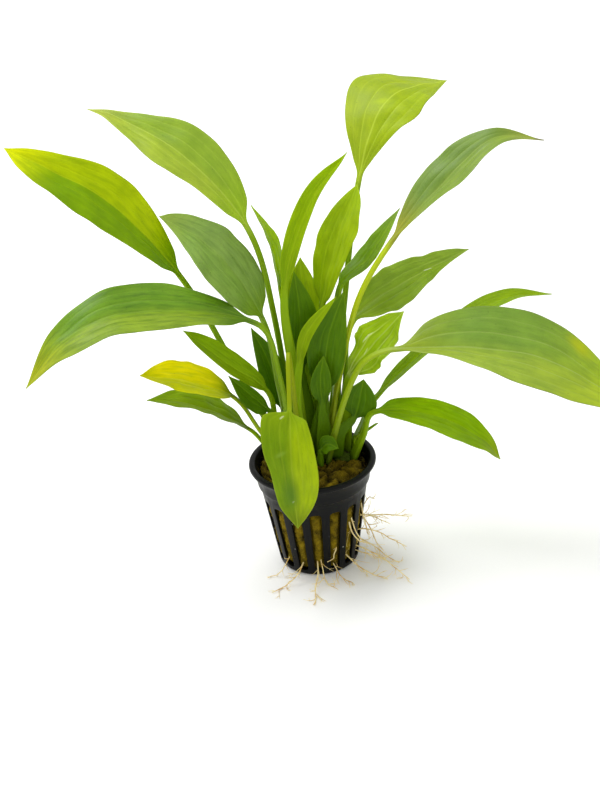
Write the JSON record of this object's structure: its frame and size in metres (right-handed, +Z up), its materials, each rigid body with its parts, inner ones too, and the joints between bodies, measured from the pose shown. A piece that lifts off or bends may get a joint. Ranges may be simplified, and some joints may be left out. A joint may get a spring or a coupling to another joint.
{
  "type": "potted water plant",
  "caption": "Broad-leaved water plant with long stalked leaves, growing from crowns in mineral wool in a slotted black net pot, with pale roots through the slots",
  "frame": {"origin": "middle of the underside of the pot's floor, on the surface that the pot stands on", "axes": "+Z up out of the pot, +X towards the side where the root tuft leaves the pot, -Y towards the leaf that hangs over the pot's front"},
  "size_m": [0.2482, 0.121, 0.1867],
  "materials": {
    "pot_plastic": "moulded black plastic, half matte",
    "mineral_wool": "wet mineral wool, olive to dark brown",
    "crown": "matte living tissue",
    "leaf_bright_green": "waxy leaf, lit through, yellow-green",
    "leaf_mid_green": "waxy leaf, mid green",
    "leaf_dark_green": "waxy leaf, dark green",
    "leaf_grey_green": "waxy leaf with a grey sheen",
    "leaf_yellow": "ageing leaf, yellow",
    "root": "pale straw-coloured root"
  },
  "bodies": {
    "root": {"net_pot": "pot_plastic", "wool_plug": "mineral_wool", "left_crown": "crown", "back_left_crown": "crown", "front_crown": "crown", "back_right_crown": "crown", "right_crown": "crown", "upper_left_leaf": "leaf_bright_green", "far_left_folded_leaf": "leaf_bright_green", "mid_left_leaf": "leaf_grey_green", "long_left_leaf": "leaf_mid_green", "narrow_left_leaf": "leaf_mid_green", "yellow_leaf": "leaf_yellow", "leaf_under_yellow_leaf": "leaf_mid_green", "small_dark_left_leaf": "leaf_dark_green", "back_narrow_leaf": "leaf_bright_green", "upright_narrow_leaf": "leaf_bright_green", "upright_wide_leaf": "leaf_bright_green", "top_leaf": "leaf_bright_green", "upper_right_leaf": "leaf_grey_green", "leaf_behind_upper_right_leaf": "leaf_mid_green", "mid_right_leaf": "leaf_grey_green", "crinkled_right_leaf": "leaf_bright_green", "long_right_leaf": "leaf_bright_green", "narrow_right_leaf": "leaf_mid_green", "lower_right_leaf": "leaf_bright_green", "front_leaf": "leaf_bright_green", "crown_leaflet": "leaf_mid_green", "cut_stalk": "leaf_mid_green", "short_dark_right_leaf": "leaf_dark_green", "inner_right_leaf": "leaf_dark_green", "inner_short_leaf": "leaf_dark_green", "inner_curved_leaf": "leaf_bright_green", "inner_left_leaf": "leaf_dark_green", "back_pale_leaf": "leaf_bright_green", "inner_middle_leaf": "leaf_mid_green", "upper_right_root": "root", "hooked_right_root": "root", "long_right_root": "root", "right_slot_root": "root", "right_floor_root": "root", "front_right_root": "root", "front_right_floor_root": "root", "front_slot_root": "root", "front_floor_root": "root", "front_short_root": "root", "left_floor_root": "root", "left_short_root": "root", "slot_side_root": "root", "crossing_slot_root": "root", "rising_right_root": "root", "arched_right_root": "root", "low_right_root": "root", "front_middle_root": "root"}
  },
  "joints": []
}
